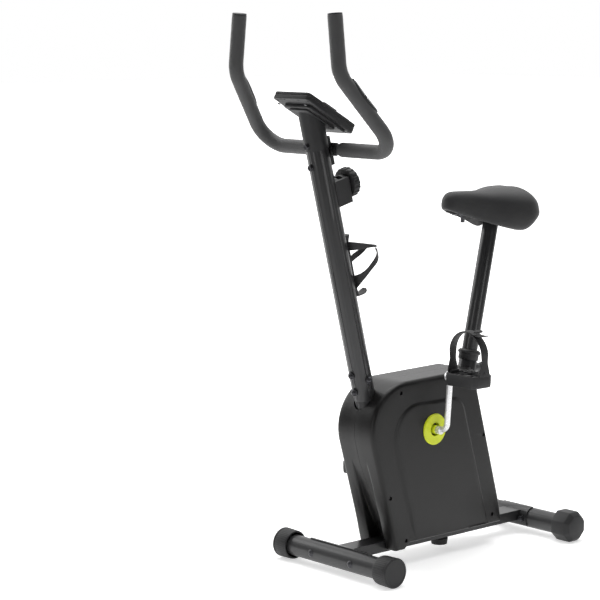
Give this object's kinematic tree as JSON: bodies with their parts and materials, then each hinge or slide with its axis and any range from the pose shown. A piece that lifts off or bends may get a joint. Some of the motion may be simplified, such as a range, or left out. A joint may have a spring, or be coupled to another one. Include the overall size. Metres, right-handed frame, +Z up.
{
  "type": "exercise bike",
  "caption": "Upright home exercise bike with belt drive to a magnetically braked flywheel, adjustable saddle, tilting handlebar, strapped pedals, small console and bottle cage.",
  "frame": {"origin": "centre of the overall box, on the floor", "axes": "+Z up, +X to the rider's left, the rider faces -Y"},
  "size_m": [0.445, 0.8303, 1.2827],
  "materials": {
    "frame_paint": "satin black powder coat",
    "cover_plastic": "fine satin grain",
    "cap_plastic": "moulded satin",
    "rubber_black": "matt",
    "zinc": "zinc plated",
    "black_steel": "blackened",
    "crank_silver": "silver-white enamel",
    "lime": "satin lime-yellow",
    "steel": "turned",
    "flywheel_iron": "cast and turned",
    "pulley_plastic": "moulded",
    "belt_rubber": "ribbed",
    "pedal_plastic": "moulded",
    "strap_rubber": "soft matt",
    "magnet": "nickel",
    "saddle_vinyl": "grained black vinyl",
    "foam": "fine cell foam",
    "sensor_steel": "polished steel",
    "console_black": "satin",
    "console_grey": "fine satin",
    "lens": "clear",
    "lcd": "liquid crystal panel",
    "button_grey": "soft",
    "dial_black": "printed dial"
  },
  "bodies": {
    "frame": {"main_frame": "frame_paint", "front_stabilizer": "frame_paint", "rear_stabilizer": "frame_paint", "stabilizer_bolts": "black_steel", "roller_plugs": "cap_plastic", "centre_bumper": "rubber_black", "cover_left": "cover_plastic", "cover_right": "cover_plastic", "cover_screws": "black_steel", "hub_rings": "lime", "axle_bearings": "steel", "belt": "belt_rubber", "flywheel_bearings": "steel", "seat_bushing": "cap_plastic", "lock_bushing": "zinc", "handle_post": "frame_paint", "post_bolts": "black_steel", "bar_clamp": "frame_paint", "bar_bolts": "black_steel", "console_back": "console_black", "console_front": "console_grey", "console_lens": "lens", "console_display": "lcd", "console_screws": "black_steel", "console_bracket": "black_steel", "knob_housing": "cap_plastic", "bottle_cage": "cap_plastic", "cage_screws": "black_steel"},
    "crank": {"crank_axle": "steel", "drive_pulley": "pulley_plastic", "crank_left": "crank_silver", "crank_right": "crank_silver", "crank_caps": "lime"},
    "pedal_l": {"pedal_left": "pedal_plastic", "strap_left": "strap_rubber"},
    "pedal_r": {"pedal_right": "pedal_plastic", "strap_right": "strap_rubber"},
    "flywheel_body": {"flywheel": "flywheel_iron"},
    "magnet_arm": {"magnet_bracket": "black_steel", "magnets": "magnet"},
    "roller_l": {"roller_left": "cap_plastic"},
    "roller_r": {"roller_right": "cap_plastic"},
    "cap_l": {"rear_cap_left": "cap_plastic"},
    "cap_r": {"rear_cap_right": "cap_plastic"},
    "seat": {"seat_post": "frame_paint", "saddle_clamp": "zinc"},
    "lock": {"lock_pin": "cap_plastic"},
    "saddle": {"clamp_plates": "black_steel", "saddle_rails": "black_steel", "saddle_base": "cap_plastic", "saddle_pad": "saddle_vinyl"},
    "bar": {"handlebar": "frame_paint", "grip_left": "foam", "grip_right": "foam", "grip_plugs": "cap_plastic", "sensor_bases": "cap_plastic", "sensor_plates": "sensor_steel"},
    "knob": {"tension_knob": "cap_plastic", "knob_dial": "dial_black"},
    "button": {"console_button": "button_grey"}
  },
  "joints": [
    {"name": "crank_turn", "type": "hinge", "parent": "frame", "child": "crank", "pos_m": [0, 0.0085, 0.313], "axis": [1, 0, 0], "continuous": true},
    {"name": "pedal_left_spin", "type": "hinge", "parent": "crank", "child": "pedal_l", "pos_m": [0.163, 0.01938, 0.44254], "axis": [1, 0, 0], "continuous": true},
    {"name": "pedal_right_spin", "type": "hinge", "parent": "crank", "child": "pedal_r", "pos_m": [-0.163, -0.00238, 0.18346], "axis": [1, 0, 0], "continuous": true},
    {"name": "flywheel_spin", "type": "hinge", "parent": "frame", "child": "flywheel_body", "pos_m": [0, 0.014, 0.146], "axis": [1, 0, 0], "continuous": true},
    {"name": "tension_turn", "type": "hinge", "parent": "frame", "child": "knob", "pos_m": [0, -0.20867, 0.90369], "axis": [0, 0.9685, 0.2492], "range_deg": [-140, 140]},
    {"name": "magnet_swing", "type": "hinge", "parent": "frame", "child": "magnet_arm", "pos_m": [0, -0.07843, 0.252], "axis": [1, 0, 0], "range_deg": [-1.6, 1.6]},
    {"name": "roller_left_spin", "type": "hinge", "parent": "frame", "child": "roller_l", "pos_m": [0.165, -0.2394, 0.035], "axis": [1, 0, 0], "continuous": true},
    {"name": "roller_right_spin", "type": "hinge", "parent": "frame", "child": "roller_r", "pos_m": [-0.165, -0.2394, 0.035], "axis": [1, 0, 0], "continuous": true},
    {"name": "cap_left_turn", "type": "hinge", "parent": "frame", "child": "cap_l", "pos_m": [0.165, 0.3794, 0.035], "axis": [1, 0, 0], "range_deg": [-180, 180]},
    {"name": "cap_right_turn", "type": "hinge", "parent": "frame", "child": "cap_r", "pos_m": [-0.165, 0.3794, 0.035], "axis": [1, 0, 0], "range_deg": [-180, 180]},
    {"name": "seat_height", "type": "slide", "parent": "frame", "child": "seat", "axis": [0, 0.2202, 0.9755], "range_m": [-0.12, 0.1]},
    {"name": "seat_lock_pull", "type": "slide", "parent": "frame", "child": "lock", "axis": [0, 0.9755, -0.2202], "range_m": [-0.003, 0.006]},
    {"name": "saddle_tilt", "type": "hinge", "parent": "seat", "child": "saddle", "pos_m": [0, 0.26692, 0.797], "axis": [1, 0, 0], "range_deg": [-8, 8]},
    {"name": "bar_tilt", "type": "hinge", "parent": "frame", "child": "bar", "pos_m": [0, -0.2672, 0.9799], "axis": [1, 0, 0], "range_deg": [-15, 15]},
    {"name": "button_press", "type": "slide", "parent": "frame", "child": "button", "axis": [0, -0.4787, -0.878], "range_m": [0, 0.0012], "stiffness_N_per_m": 500}
  ],
  "couplings": [
    {"joint": "flywheel_spin", "follows": "crank_turn", "ratio": 4.1667},
    {"joint": "magnet_swing", "follows": "tension_turn", "ratio": 0.010714}
  ]
}
